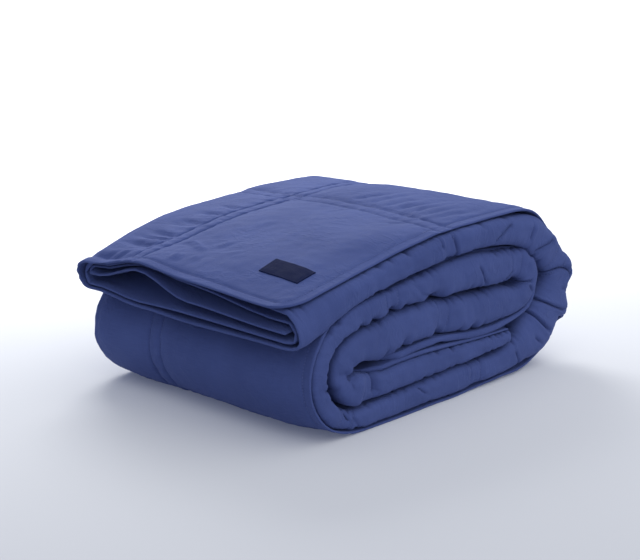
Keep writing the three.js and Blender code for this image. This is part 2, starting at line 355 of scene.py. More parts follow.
def opened(s):
    """1 at the loose end, where the plies stand open, and 0 where they lie packed."""
    return 1.0 - smooth(s, 0.0, OPEN_LENGTH)


# Quilting

def line_skew(v):
    """How far a quilting line across the strip strays along it."""
    return QUILT_SKEW.shift * smooth(v, 0.0, QUILT_SKEW.width)


def from_line(s, v=0.0):
    """Signed distance from the nearest quilting line across the strip, far away where there is none."""
    past = s - QUILT_START - line_skew(v)
    line = np.round(past / QUILT_ALONG)
    there = (line > 0) & (s < LAST_LINE)
    return np.where(there, past - line * QUILT_ALONG, QUILT_ALONG)


def line_depth(distance):
    """How far a quilting line draws the cloth in, from 0 beside the line to 1 on it."""
    return 1.0 - smooth(np.abs(distance), 0.0, QUILT_HALF_WIDTH)


def from_row(distance):
    """Distance from the nearer row of stitches, at a distance from the middle of their line."""
    return np.abs(np.abs(distance) - ROW_OFFSET)


def double_row(distance):
    """Trough of a double row of stitches, from 0 beside it to 1 in its rows."""
    return cusp(from_row(distance), ROW_WIDTH)


# Section of the strip

GRADED_SAMPLES = 20000


def hem_place(s):
    """Place of the front hem across the strip: the cloth lies a little askew in its folds."""
    places, setbacks = zip(*HEM_PLACES)
    return np.interp(s, places, setbacks)


def cornered(s, v):
    """A distance from the hem, pushed back where the corner at the loose end is rounded off."""
    cut = CORNER_RADIUS * (1.0 - quarter_circle(s / CORNER_RADIUS))
    return np.where(v < LABEL.back, lerp(cut, LABEL.back, v / LABEL.back), v)


def line_drift(s, v):
    """How far the quilting line along the strip strays from its place across it."""
    share = smooth(s, LINE_DRIFT.start, LINE_DRIFT.end)
    return LINE_DRIFT.shift * share * plateau(v, *LINE_DRIFT.band)


def puff(s, y):
    """How far the outermost ply stands up behind its hem."""
    shares = [plateau(s, *row) for row in PUFFED_STRETCHES]
    return PUFF.height * np.maximum(*shares) * smooth(y, PUFF.start, PUFF.end)


def ply_height(s, thick, number, y):
    """Height of a ply over the middle of the strip."""
    packed = (PLY_COUNT / 2 - 0.5 - number) * thick / PLY_COUNT
    if number == 0:
        packed = packed + puff(s, y)
    row = LOOSE_END[number]
    loose = lerp(row.front, row.middle, smooth(y, LOOSE_PLACES.front, LOOSE_PLACES.middle))
    loose = lerp(loose, row.crest, smooth(y, LOOSE_PLACES.middle, LOOSE_PLACES.crest))
    loose = lerp(loose, row.back, smooth(y, LOOSE_PLACES.crest, LOOSE_PLACES.back))
    return lerp(packed, loose, opened(s))


def fold_curve(points, flatness):
    """Bulge from 0 to 1 and back, and height from 1 to -1, at even steps round a flattened half ellipse."""
    angle = np.linspace(0.0, math.pi, FOLD_SAMPLES)
    bulge = np.sin(angle) ** (2.0 / flatness)
    height = np.sign(np.cos(angle)) * np.abs(np.cos(angle)) ** (2.0 / flatness)
    length = running_sum(np.hypot(np.diff(FOLD_ROUNDNESS * bulge), np.diff(height)))
    even = np.linspace(0.0, length[-1], points + 1)
    return np.interp(even, length, bulge), np.interp(even, length, height)


def graded(low, high, centres, fine, coarse, growth):
    """Places from low to high, fine around the centres and coarse away from them."""
    grid = np.linspace(low, high, GRADED_SAMPLES)
    gap = np.min(np.abs(grid[:, None] - np.array(centres)), axis=1)
    spacing = np.clip(fine + growth * gap, fine, coarse)
    count = running_sum(np.diff(grid) / spacing[1:])
    return np.interp(np.linspace(0.0, count[-1], round(count[-1]) + 1), count, grid)


# Relief of the cloth

RIPPLE = Values(lift=2.2, length=95.0, width=75.0)
PILLOW = Values(height=3.2, reach=20.0, from_edge=4.0, hem_fade=20.0)
PUCKER = Values(height=1.0, reach=14.0, pitch=9.0, slant=0.7, length=60.0)
CRUMPLE = Values(height=0.55, size=15.0, finer=2.1, fine_share=0.5)
FOLD_DRAW = Values(row=1.6, wide=3.2, reach=15.0)
FoldRipple = namedtuple("FoldRipple", "depth pitch bands")
FOLD_RIPPLES = (FoldRipple(1.5, 26.0, 0.6), FoldRipple(0.7, 10.0, 1.2))
# The fold at the back is crumpled at the loose end
TIP = Values(depth=4.5, waves=2.6, length=40.0)
# Ragged edges of the front fold: notches in patches
RAGGED = Values(
    depth=4.4, pitch=13.0, row=3.7, sharpness=5.0, start_level=0.45,
    patch=60.0, patch_row=5.3, patch_base=0.5,
)
LAYER = Values(
    ripple=1, pucker_along=2, pucker_across=3, crumple=4, crumple_fine=24, front=5,
    back=7, hem=9, ragged=11, ragged_patch=12, tip=13,
)

# A crease's shoulders, its taper and its pull on the cloth beside it, as shares of its size, and its fade
# at its two levels
CREASE = Values(
    shoulder=0.3, shoulder_place=2.0, spread=1.6, full=0.6, end=2.0, level_fade=0.2,
    pull=0.6, pinch=0.65, pinch_reach=3.0,
)
# Creases that are deeper than this draw the cloth together
SHARP_DEPTH = 2.9

# Creases of the outermost ply, from their shallow end to their deep end: soft troughs, or ridges where
# the depth is negative
TopCrease = namedtuple("TopCrease", "s0 v0 s1 v1 depth width")
TOP_CREASES = tuple(TopCrease(*row) for row in (
    # Gathers beyond the first quilting line, and two creases before it
    (372, 149, 298, 173, 2.2, 4),
    (380, 128, 300, 144, 2.5, 4),
    (362, 105, 296, 121, 1.9, 4),
    (376, 73, 294, 100, 2.8, 5),
    (378, 61, 300, 73, 2.4, 4),
    (370, 42, 298, 51, 2.2, 4),
    (375, 23, 298, 34, 2.0, 4),
    (228, 154, 259, 152, 1.3, 3),
    (232, 82, 258, 48, 1.5, 3),
    # Gathers behind the quilting line along the strip
    (92, 338, 90, 279, 6.0, 4),
    (78, 340, 78, 279, 5.6, 4),
    (60, 342, 54, 280, 6.4, 4),
    (45, 328, 46, 280, 5.0, 4),
    (135, 324, 133, 280, 4.6, 3.5),
    (122, 332, 126, 280, 4.0, 3.5),
    (162, 316, 169, 280, 3.8, 3.5),
    (198, 318, 198, 280, 3.6, 3.5),
    # Hollow along the hem of the loose end
    (17, 246, 18, 352, 5.0, 5),
    (15, 330, 36, 312, 2.4, 3),
    (15, 306, 34, 296, 2.2, 3),
    # Ridges on the first square
    (84, 246, 67, 201, -2.8, 3.5),
    (82, 257, 75, 218, -2.0, 3),
    (18, 217, 46, 215, -2.6, 3),
    (31, 193, 53, 191, -1.8, 3),
    (76, 198, 103, 181, -1.8, 3),
    (65, 170, 84, 148, -1.2, 3),
    (122, 128, 160, 135, -1.2, 2.5),
    (182, 138, 213, 150, -1.4, 2.5),
    (144, 193, 171, 186, -1.2, 4),
))

# Creases across the folds at the front and at the back, between two levels
FoldCrease = namedtuple("FoldCrease", "s low high lean depth width")
FRONT_CREASES = tuple(FoldCrease(*row) for row in (
    # Top run and large turn
    (254, 0.1, 1.0, 0, 3.4, 2),
    (280, -1.1, 0.9, -3, 4.0, 2),
    (369, -0.6, 0.7, 24, 4.5, 2),
    (431, -0.5, 0.5, 0, 4.0, 2),
    (468, -0.8, 0.7, 16, 5.5, 2),
    (519, -1.1, 0.95, 12, 7.0, 2),
    (543, 0.2, 0.8, 0, 3.0, 2.2),
    (567, -1.1, 0.75, -7, 6.5, 2),
    (596, -1.1, 0.6, -4, 6.0, 2.2),
    (618, 0.0, 0.5, -8, 3.5, 2),
    (661, -0.3, 1.1, -6, 3.0, 2),
    # Bottom run and left turn
    (842, -1.1, -0.1, -14, 2.8, 3),
    (964, -0.3, 0.7, -8, 2.2, 3),
    (975, -1.1, 0.0, -14, 2.8, 3),
    (1042, -1.1, -0.3, 0, 3.2, 4),
    # Upper inner run
    (1160, -1.1, -0.6, 0, 4.0, 4),
    (1182, -1.1, -0.5, 0, 4.5, 5),
    (1216, -1.1, -0.5, 0, 7.5, 6),
    (1260, -0.8, 0.7, -11, 1.6, 4),
    (1292, -1.1, -0.55, 0, 10.0, 10),
    (1378, -0.9, 0.4, -14, 3.6, 2.4),
    # Inner turn at the right
    (1429, -0.3, 0.3, 0, 1.6, 2),
    (1456, -1.1, -0.45, 33, 5.0, 2.5),
    (1474, -0.4, 0.3, 0, 2.0, 2),
    (1498, -1.1, 0.1, 2, 5.0, 2.2),
    (1507, -0.3, 0.5, 8, 3.0, 2),
    # Middle inner run
    (1623, 0.6, 1.1, 0, 4.5, 5),
    (1648, 0.6, 1.1, 0, 3.0, 4),
    (1691, 0.6, 1.1, 0, 5.0, 6),
    (1755, 0.4, 1.1, 0, 5.0, 6),
    (1785, 0.5, 1.1, 0, 4.0, 5),
    # Inner turn at the left
    (1870, -0.8, 0.3, 0, 3.0, 4),
    (1878, 0.1, 1.1, 0, 8.5, 5),
    (1902, -0.9, 1.0, 0, -6.0, 16),
    (1933, -0.5, 1.1, 0, 5.0, 4),
))
BACK_CREASES = tuple(FoldCrease(*row) for row in (
    (150, -0.4, 1.1, 12, 3.0, 8),
    (330, -1.1, 0.3, -10, 3.5, 8),
    (455, -1.1, 0.5, 8, 5.0, 7),
    (520, -1.1, 0.9, -6, 6.0, 7),
    (575, -1.1, 0.4, 5, 5.0, 7),
    (720, -0.8, 0.8, 14, 3.0, 9),
    (992, -1.1, 0.7, -6, 4.5, 7),
    (1052, -1.1, 0.9, 4, 5.5, 7),
    (1090, -1.1, 0.3, 8, 3.5, 7),
    (1250, -0.6, 1.1, -12, 3.0, 9),
    (1440, -1.1, 1.1, 6, 5.0, 6),
    (1600, -1.1, 0.5, 12, 3.5, 9),
    (1810, -1.1, 1.1, 0, 5.0, 7),
    (2000, -0.5, 1.1, 10, 3.0, 9),
))
SHARP_CREASES = [row for row in FRONT_CREASES if row.depth > SHARP_DEPTH]

# Dents along the front folds
FrontDent = namedtuple("FrontDent", "start end level depth height")
FRONT_DENTS = (FrontDent(395, 475, 0.9, 4.0, 0.25), FrontDent(1315, 1390, 0.75, 2.5, 0.25))
DENT_FADE = 15.0


def profile(peak, across, width):
    """Section of a crease of depth 1, with low shoulders beside it."""
    shoulder = bell(np.abs(across) - CREASE.shoulder_place * width, width)
    return peak(across, width) - CREASE.shoulder * shoulder


def crease(across, along, length, width):
    """Trough of depth 1, wider at its shallow end, which deepens slowly and ends at its deep end."""
    spread = width * lerp(CREASE.spread, 1.0, smooth(along, 0.0, length))
    taper = plateau(along, -width, CREASE.full * length, length - CREASE.end * width, length + width)
    return profile(cusp, across, spread) * taper


def lift(s, v):
    """How far the folds and ripples of the outermost ply raise it."""
    raised = RIPPLE.lift * noise(s / RIPPLE.length, v / RIPPLE.width, LAYER.ripple)
    for row in TOP_CREASES:
        length = math.hypot(row.s1 - row.s0, row.v1 - row.v0)
        way = ((row.s1 - row.s0) / length, (row.v1 - row.v0) / length)
        along = (s - row.s0) * way[0] + (v - row.v0) * way[1]
        across = (v - row.v0) * way[0] - (s - row.s0) * way[1]
        raised = raised - row.depth * crease(across, along, length, row.width)
    return raised * outermost(s)


def puckers(gap, along, drift, layer):
    """Height of the puckers beside a double row, at a distance from its middle and a place along it."""
    slanted = (along + PUCKER.slant * gap) / PUCKER.pitch
    wave = noise(slanted, drift / PUCKER.length, layer)
    return PUCKER.height * cusp(from_row(gap), PUCKER.reach) * wave


def crumple(s, v):
    """Height of the small unevenness of the cloth, in two sizes."""
    a, b = s / CRUMPLE.size, v / CRUMPLE.size
    fine = noise(CRUMPLE.finer * a, CRUMPLE.finer * b, LAYER.crumple_fine)
    return CRUMPLE.height * (noise(a, b, LAYER.crumple) + CRUMPLE.fine_share * fine)


def relief(s, v):
    """Height of the quilted face over the filled cloth of the outermost ply."""
    across, along = from_line(s, v), v - QUILT_ACROSS
    from_edge = np.minimum(v, s)
    nearest = np.minimum(np.minimum(from_row(across), from_row(along)), from_edge + PILLOW.from_edge)
    raised = PILLOW.height * (1.0 - cusp(nearest, PILLOW.reach)) + crumple(s, v)
    raised = raised + puckers(along, s, along, LAYER.pucker_along)
    raised = raised + puckers(across, v, s, LAYER.pucker_across)
    raised = raised * smooth(from_edge, 0.0, PILLOW.hem_fade)
    rows = np.maximum(double_row(across), double_row(along))
    hem_share = lerp(FLAT_HEM.share, 1.0, smooth(s, FLAT_HEM.start, FLAT_HEM.end))
    seam = np.where(v < s, hem_share, 1.0) * cusp(from_edge - HEM_STITCH, ROW_WIDTH)
    return outermost(s) * (raised - ROW_DEPTH * rows - HEM_SEAM_DEPTH * seam)


def on_crease(row, s, level):
    """Distance from the middle of a crease across a fold, and 1 between its two levels."""
    return s - row.s - row.lean * level, stretch(level, row.low, row.high, CREASE.level_fade)


def creases(rows, s, level):
    """Depth of the creases across a fold."""
    depth = 0.0
    for row in rows:
        across, span = on_crease(row, s, level)
        peak = cusp if row.depth > 0.0 else bell
        depth = depth + row.depth * span * profile(peak, across, row.width)
    return depth


def pinched(s, level):
    """Stations of the front fold, drawn towards its sharp creases."""
    drawn = 0.0
    for row in SHARP_CREASES:
        across, span = on_crease(row, s, level)
        drawn = drawn + span * across * bell(across, CREASE.pinch_reach * row.width)
    return s - CREASE.pinch * drawn


def fold_draw(s, level, layer):
    """How far a fold at an edge of the strip is drawn in."""
    gap = from_line(s)
    drawn = FOLD_DRAW.row * double_row(gap) + FOLD_DRAW.wide * bell(gap, FOLD_DRAW.reach)
    for step, row in enumerate(FOLD_RIPPLES):
        drawn = drawn + row.depth * noise(s / row.pitch, row.bands * level, layer + step)
    return drawn


def back_draw(s, level):
    """How far the fold at the back is drawn in, crumpled at the loose end."""
    crumpled = TIP.depth * opened(s) * noise(TIP.waves * level, s / TIP.length, LAYER.tip)
    return fold_draw(s, level, LAYER.back) + creases(BACK_CREASES, s, level) + crumpled


def front_draw(s, level):
    """How far the fold at the front is drawn in, with its creases and dents."""
    drawn = fold_draw(s, level, LAYER.front) + creases(FRONT_CREASES, s, level)
    for row in FRONT_DENTS:
        dent = stretch(s, row.start, row.end, DENT_FADE) * bell(level - row.level, row.height)
        drawn = drawn + row.depth * dent
    return drawn


def shoulder_pull(s, level):
    """How far the edges of the front fold are pulled towards its middle: notches and a ragged line."""
    side = np.sign(level)
    wave = noise(s / RAGGED.pitch, RAGGED.row * side, LAYER.ragged)
    notch = np.clip(1.0 - RAGGED.sharpness * np.abs(wave), 0.0, 1.0)
    patch = noise(s / RAGGED.patch, RAGGED.patch_row * side, LAYER.ragged_patch)
    ragged = RAGGED.depth * notch * np.clip(RAGGED.patch_base + patch, 0.0, 1.0)
    pulled = CREASE.pull * creases(FRONT_CREASES, s, level) + ragged
    return side * smooth(np.abs(level), RAGGED.start_level, 1.0) * pulled


# Cloth

EDGE_PLACES = np.array((0.0, 0.3, 0.9, 1.8))
EDGE_END = 3.0
TOP_PLACES = np.concatenate([
    EDGE_PLACES,
    graded(
        EDGE_END, TOP_FIELD_END,
        (EDGE_END, HEM_STITCH, QUILT_ACROSS - ROW_OFFSET, QUILT_ACROSS + ROW_OFFSET),
        fine=0.9, coarse=4.8, growth=0.22,
    ),
])
TOP_LAST_COLUMNS = 7
# Place of the free hem inside the strip, in plies from its edge
FREE_HEM_PLACE = 2.6
LINES = np.arange(QUILT_START + QUILT_ALONG, LAST_LINE, QUILT_ALONG)
FINE_PLACES = (
    EDGE_END, HEM_STITCH, *(LINES - ROW_OFFSET), *(LINES + ROW_OFFSET),
    *(row.s for row in SHARP_CREASES), STRIP_LENGTH - EDGE_END,
)
STATIONS = np.concatenate([
    EDGE_PLACES,
    graded(EDGE_END, STRIP_LENGTH - EDGE_END, FINE_PLACES, fine=1.2, coarse=3.8, growth=0.16),
    STRIP_LENGTH - EDGE_PLACES[::-1],
])
# Points of one block: places along the strip, across it and over its middle, how far they are set back at
# the loose end, and half of the cloth's thickness outwards and inwards
Block = namedtuple("Block", "s y n setback out into")


def from_end(s):
    """Distance from the nearer end of the strip."""
    return np.minimum(s, STRIP_LENGTH - s)


def edge_round(distance):
    """Share of its thickness that the cloth has near an edge, rounded like a rolled hem."""
    return quarter_circle(distance / HEM_ROUND_REACH)


def filled_half(s, thick):
    """Half of the cloth's thickness away from its stitches, thinner in the hems at the strip's ends."""
    filled = FILL_SHARE * thick / PLY_COUNT / 2.0
    hemmed = np.minimum(HEM_HALF_THICKNESS, filled)
    return lerp(hemmed, filled, smooth(from_end(s), *END_FILL))


def quilted(s, half, v=0.0):
    """Half thickness drawn in by the quilting lines across the strip and rounded off at both its ends."""
    drawn = half * lerp(1.0, QUILT_PINCH, line_depth(from_line(s, v)))
    return np.maximum(drawn * edge_round(from_end(s)), EDGE_HALF_THICKNESS)


def ply_line(s, thick, number, y):
    """Height of a ply with the share of the outermost ply's ripples that it follows."""
    settled = 1.0 - number / (PLY_COUNT - 1.0)
    return ply_height(s, thick, number, y) + settled * lift(s, y - hem_place(s))


def swelling(s):
    """How far the fold at the front swells up over the hem, as a share of one ply."""
    return sum(row.share * plateau(s, row.start, row.full, row.end, row.gone) for row in SWOLLEN_STRETCHES)


def fold_start(s, thick, half, fold):
    """Place across the strip where a fold begins to bulge, and its depth."""
    pitch = thick / PLY_COUNT
    depth = FOLD_ROUNDNESS * abs(fold.second - fold.first) * pitch / 2.0
    if fold.side == FRONT:
        depth = depth * lerp(1.0, LOOSE_FOLD.reach, opened(s))
    inset = half + fold.inset * pitch
    edge = STRIP_WIDTH - inset if fold.side == BACK else inset
    return edge - fold.side * depth, depth


def hem_rise(s, v):
    """How far the hem stands out from the plies under it."""
    flare = sum(row.height * bell(s - row.s, row.width) for row in HEM_FLARES)
    wave = HEM_WAVE.height * noise(s / HEM_WAVE.pitch, HEM_WAVE.row, LAYER.hem) * outermost(s)
    return (flare + wave) * (1.0 - smooth(v, 0.0, HEM_FLARE_WIDTH))


def top_block(s, thick, half):
    """The outermost ply from its hem to the fold at the back."""
    start, _ = fold_start(s, thick, half, CLOTH_LINE[0])
    hem = hem_place(s)
    field = hem + cornered(s, TOP_PLACES[None, :]) + line_drift(s, TOP_PLACES[None, :])
    shares = np.linspace(0.0, 1.0, TOP_LAST_COLUMNS + 2)[1:-1]
    rest = lerp(hem + TOP_FIELD_END, start, shares[None, :])
    y = np.concatenate([field, rest], axis=1)
    from_hem = np.concatenate([np.broadcast_to(TOP_PLACES, field.shape), rest - hem], axis=1)
    hemmed = lerp(half, np.minimum(HEM_HALF_THICKNESS, half), outermost(s))
    body = lerp(hemmed, half, smooth(from_hem, *FRONT_FILL))
    into = np.maximum(quilted(s, body, from_hem) * edge_round(from_hem), EDGE_HALF_THICKNESS)
    raised = relief(s, from_hem) * edge_round(from_end(s)) * edge_round(from_hem)
    out = np.maximum(into + raised, EDGE_HALF_THICKNESS)
    n = ply_line(s, thick, 0, y) + hem_rise(s, from_hem)
    return Block(np.broadcast_to(s, y.shape), y, n, np.full_like(y, LOOSE_END[0].setback), out, into)


def fold_block(s, thick, half, fold):
    """A fold from one ply to the next."""
    outer_front = fold.side == FRONT and fold.inset == 0
    start, depth = fold_start(s, thick, half, fold)
    loose, packed = (np.array(fold_curve(fold.points, flatness)) for flatness in FOLD_FLATNESS)
    bulge, height = lerp(packed[:, None, :], loose[:, None, :], opened(s))
    s = pinched(s, -height) if outer_front else np.broadcast_to(s, height.shape)
    first = ply_line(s, thick, fold.first, start)
    second = ply_line(s, thick, fold.second, start)
    if outer_front:
        second = second + swelling(s) * thick / PLY_COUNT
    y = start + fold.side * depth * bulge
    sag = LOOSE_FOLD.sag * opened(s) if fold.side == FRONT else 0.0
    n = (first + second) / 2.0 + (first - second) / 2.0 * (height + sag * (1.0 - height ** 2))
    if fold.inset < INNERMOST_INSET:
        drawn = front_draw(s, -height) if fold.side == FRONT else back_draw(s, height)
        y = y - fold.side * drawn * lerp(1.0, INNER_DRAW, fold.inset) * np.sqrt(bulge)
    if outer_front:
        n = n - shoulder_pull(s, -height)
    shares = np.linspace(0.0, 1.0, fold.points + 1)
    setback = lerp(LOOSE_END[fold.first].setback, LOOSE_END[fold.second].setback, shares)
    thickness = np.broadcast_to(quilted(s, half), y.shape)
    return Block(s, y, n, np.broadcast_to(setback, y.shape), thickness, thickness)


def inner_block(s, thick, number, y, thickness):
    """Points of a ply inside the strip, at places y across it."""
    n = ply_line(s, thick, number, y)
    setback = np.full_like(y, LOOSE_END[number].setback)
    thickness = np.broadcast_to(thickness, y.shape)
    return Block(np.broadcast_to(s, y.shape), y, n, setback, thickness, thickness)


def ply_block(s, thick, half, ply, begin, end):
    """A ply inside the strip, between the folds at its two edges."""
    shares = np.linspace(0.0, 1.0, ply.points + 2)[1:-1]
    return inner_block(s, thick, ply.number, lerp(begin, end, shares[None, :]), quilted(s, half))


def free_hem(thick, half):
    """Place of the free hem across the strip."""
    return half + FREE_HEM_PLACE * thick / PLY_COUNT


def free_hem_block(s, thick, half, number):
    """The last points of the innermost ply, rounded off at its free hem."""
    from_hem = EDGE_PLACES[::-1][None, :]
    y = free_hem(thick, half) + from_hem + np.zeros_like(s)
    thickness = np.maximum(quilted(s, half) * edge_round(from_hem), EDGE_HALF_THICKNESS)
    return inner_block(s, thick, number, y, thickness)


def cloth_blocks(s):
    """The cloth's line at stations s, block by block."""
    s = s[:, None]
    thick = strip_at(s)[2]
    half = filled_half(s, thick)
    blocks = [top_block(s, thick, half)]
    for i, part in enumerate(CLOTH_LINE):
        if isinstance(part, Fold):
            blocks.append(fold_block(s, thick, half, part))
            continue
        begin = fold_start(s, thick, half, CLOTH_LINE[i - 1])[0]
        if i + 1 < len(CLOTH_LINE):
            end = fold_start(s, thick, half, CLOTH_LINE[i + 1])[0]
        else:
            end = free_hem(thick, half) + EDGE_PLACES[-1]
        blocks.append(ply_block(s, thick, half, part, begin, end))
    blocks.append(free_hem_block(s, thick, half, CLOTH_LINE[-1].number))
    return blocks


def placed(s, y, n, setback):
    """Points in the roll, in the frame of the solids, crowned across the width and flat on the floor."""
    x, z, _, heading = strip_at(s)
    pinch = lerp(1.0, STRIP_PINCH, line_depth(from_line(s, y)))
    shift = setback * (1.0 - smooth(s, 0.0, OPEN_LENGTH / 2.0))
    swell = 1.0 + CROWN * (1.0 - np.minimum(1.0, (2.0 * y / STRIP_WIDTH - 1.0) ** 2))
    swell = swell - DROOP.share * smooth(y, DROOP.start, DROOP.end)
    px = x - np.sin(heading) * n * pinch + np.cos(heading) * shift - ORIGIN_FROM_LOOSE_END
    pz = z + np.cos(heading) * n * pinch + np.sin(heading) * shift
    return np.stack([px, y - STRIP_WIDTH / 2.0, np.maximum(0.0, pz * swell)], axis=-1)


def cloth_faces(stations):
    """Points of the cloth's outer and inner face at every station and column, and the blocks' sizes."""
    blocks = cloth_blocks(stations)
    s, y, n, setback, out, into = (np.concatenate(column, axis=1) for column in zip(*blocks))
    along_y, along_n = np.gradient(y, axis=1), np.gradient(n, axis=1)
    length = np.hypot(along_y, along_n)
    side_y, side_n = -along_n / length, along_y / length
    outer = placed(s, y + side_y * out, n + side_n * out, setback)
    inner = placed(s, y - side_y * into, n - side_n * into, setback)
    across = np.cumsum(np.hypot(np.diff(y), np.diff(n)), axis=1)
    across = np.concatenate([np.zeros((len(stations), 1)), across], axis=1)
    return outer, inner, [block.y.shape[1] for block in blocks], across


# Mesh of the cloth: a closed ring of columns at each station, with fewer stations kept where little shows

Band = namedtuple("Band", "first last rows")
FINE_HEM = 14.0
FINE_END = 30.0
FLOOR_STRETCH = (620.0, 960.0)
INNER_STEP = Values(top=7, fold=4)


def kept_rows(*rules):
    """Stations that a band keeps. Each rule is a stride and the distance up to which it holds."""
    keep = np.zeros(len(STATIONS), bool)
    begin = 0.0
    for stride, end in rules:
        inside = (STATIONS >= begin) & (STATIONS <= end)
        keep |= inside & (np.arange(len(STATIONS)) % stride == 0)
        begin = end
    keep[[0, -1]] = True
    return np.flatnonzero(keep)


def inner_columns(sizes):
    """Columns that the inner face keeps."""
    fine = int(np.searchsorted(TOP_PLACES, FINE_HEM))
    kept = list(range(fine)) + list(range(fine, sizes[0], INNER_STEP.top))
    first = sizes[0]
    for size, part in zip(sizes[1:-1], CLOTH_LINE):
        kept += range(first, first + size, INNER_STEP.fold if isinstance(part, Fold) else 1)
        first += size
    return kept + list(range(first, first + sizes[-1]))


def cloth_bands(sizes, inner):
    """Bands of the ring between columns that show alike."""
    hem_end = int(np.searchsorted(TOP_PLACES, FINE_HEM))
    top_end, back_end, under_end, front_end = np.cumsum(sizes[:4]).tolist()
    last = sum(sizes) - 1
    ring_end = last + len(inner)
    end = STRIP_LENGTH
    top_rows = kept_rows((1, FLOOR_STRETCH[0]), (4, FLOOR_STRETCH[1]), (1, OUTER_END), (8, end))
    edge_rows = kept_rows((1, OPEN_LENGTH), (3, end))
    hidden_rows = kept_rows((1, FINE_END), (4, OPEN_LENGTH), (8, end))
    return (
        Band(0, hem_end, kept_rows((1, OUTER_END + FINE_END), (2, end))),
        Band(hem_end, top_end, top_rows),
        Band(top_end, back_end, edge_rows),
        Band(back_end, under_end, kept_rows((2, OPEN_LENGTH), (8, end))),
        Band(under_end, front_end, kept_rows((1, end))),
        Band(front_end, last, hidden_rows),
        Band(last, ring_end - hem_end + 1, hidden_rows),
        Band(ring_end - hem_end + 1, ring_end + 1, edge_rows),
    )


def zipped(left, right):
    """Triangles between two chains of points that run side by side."""
    faces = []
    i = j = 0
    m, n = len(left) - 1, len(right) - 1
    while i < m or j < n:
        if j == n or (i < m and (i + 1) * n <= (j + 1) * m):
            faces.append((left[i], left[i + 1], right[j]))
            i += 1
        else:
            faces.append((left[i], right[j + 1], right[j]))
            j += 1
    return faces


def between(ids, low, high):
    """Numbers of the points that are kept from low to high."""
    chain = ids[low:high + 1]
    return chain[chain >= 0].tolist()


def cloth_mesh(outer, inner_face, sizes, across):
    """Points, faces and cloth places of the closed mesh."""
    inner = inner_columns(sizes)
    bands = cloth_bands(sizes, inner)
    columns = outer.shape[1]
    ring = np.concatenate([outer, inner_face[:, inner[::-1]]], axis=1)
    ring_across = np.concatenate([across, across[:, inner[::-1]]], axis=1)
    used = np.zeros(ring.shape[:2], bool)
    for band in bands:
        for c in range(band.first, band.last + 1):
            used[band.rows, c % ring.shape[1]] = True
    ids = np.full(used.shape, -1)
    ids[used] = np.arange(used.sum())
    faces = []
    for band in bands:
        for c in range(band.first, band.last):
            left, right = ids[:, c], ids[:, (c + 1) % ring.shape[1]]
            for low, high in zip(band.rows[:-1], band.rows[1:]):
                faces += zipped(between(left, low, high), between(right, low, high))
    inner_ids = ids[:, columns:][:, ::-1]
    for row, way in ((0, 1), (len(STATIONS) - 1, -1)):
        for k, (low, high) in enumerate(zip(inner[:-1], inner[1:])):
            cap = zipped(between(ids[row, :columns], low, high), inner_ids[row, k:k + 2].tolist())
            faces += [face[::way] for face in cap]
    along = np.broadcast_to(STATIONS[:, None], used.shape)
    places = np.stack([ring_across[used], along[used], np.zeros(used.sum())], axis=1)
    return ring[used], faces, places


def put_in_scene(name, data):
    """A new object in the scene."""
    made = bpy.data.objects.new(name, data)
    bpy.context.scene.collection.objects.link(made)
    return made


def mesh_object(name, points, faces, places=None):
    """A smooth mesh from points in millimetres, with their places on the cloth as an attribute."""
    mesh = bpy.data.meshes.new(name)
    mesh.from_pydata((np.asarray(points) * METRES).tolist(), [], faces)
    mesh.polygons.foreach_set("use_smooth", [True] * len(mesh.polygons))
    if places is not None:
        layer = mesh.attributes.new("place", "FLOAT_VECTOR", "POINT")
        layer.data.foreach_set("vector", np.asarray(places, float).ravel())
    mesh.update()
    return put_in_scene(name, mesh)


OUTER, INNER, BLOCK_SIZES, ACROSS = cloth_faces(STATIONS)
coverlet = mesh_object("coverlet_cloth", *cloth_mesh(OUTER, INNER, BLOCK_SIZES, ACROSS))


# Places on the outer face

def on_grid(values, rows, columns):
    """Values at fractional rows and columns of a grid."""
    i = np.clip(np.floor(rows).astype(int), 0, values.shape[0] - 2)
    j = np.clip(np.floor(columns).astype(int), 0, values.shape[1] - 2)
    a, b = (rows - i)[..., None], (columns - j)[..., None]
    near = lerp(values[i, j], values[i, j + 1], b)
    far = lerp(values[i + 1, j], values[i + 1, j + 1], b)
    return lerp(near, far, a)


def grid_normals(points):
    """Unit normals of a grid of points."""
    normals = np.cross(np.gradient(points, axis=0), np.gradient(points, axis=1))
    return normals / np.maximum(np.linalg.norm(normals, axis=-1, keepdims=True), TINY)


NORMALS = grid_normals(OUTER)


def row_of(s):
    return np.interp(s, STATIONS, np.arange(len(STATIONS)))


def column_of(v):
    return np.interp(v, TOP_PLACES, np.arange(len(TOP_PLACES)))


# Stitches

STITCH = Values(length=2.7, pitch=3.7, radius=0.42, lowest=2.0, ahead=0.5)
# Rings of one stitch: place as a share of its length, rise, and width as a share of its radius
STITCH_RINGS = ((-0.5, -0.45, 0.45), (-0.26, 0.22, 1.0), (0.26, 0.22, 1.0), (0.5, -0.45, 0.45))
STITCH_SIDES = 4
CORNER_CLEAR = 14.0
LINE_STEP = Values(rows=0.5, columns=0.1)


def on_line(at, length, values):
    """Point or direction on a line, at a distance from its start."""
    return np.array([np.interp(at, length, values[:, k]) for k in range(3)])


def stitch_points(centre, length, path, normals):
    """Points of the rings of one stitch."""
    points = []
    for share, rise, width in STITCH_RINGS:
        at = centre + share * STITCH.length
        middle, up = on_line(at, length, path), on_line(at, length, normals)
        side = np.cross(up, on_line(at + STITCH.ahead, length, path) - middle)
        side = side / max(np.linalg.norm(side), TINY)
        middle = middle + up * rise
        radius = STITCH.radius * width
        points += [middle + way * radius for way in (side, up, -side, -up)]
    return points


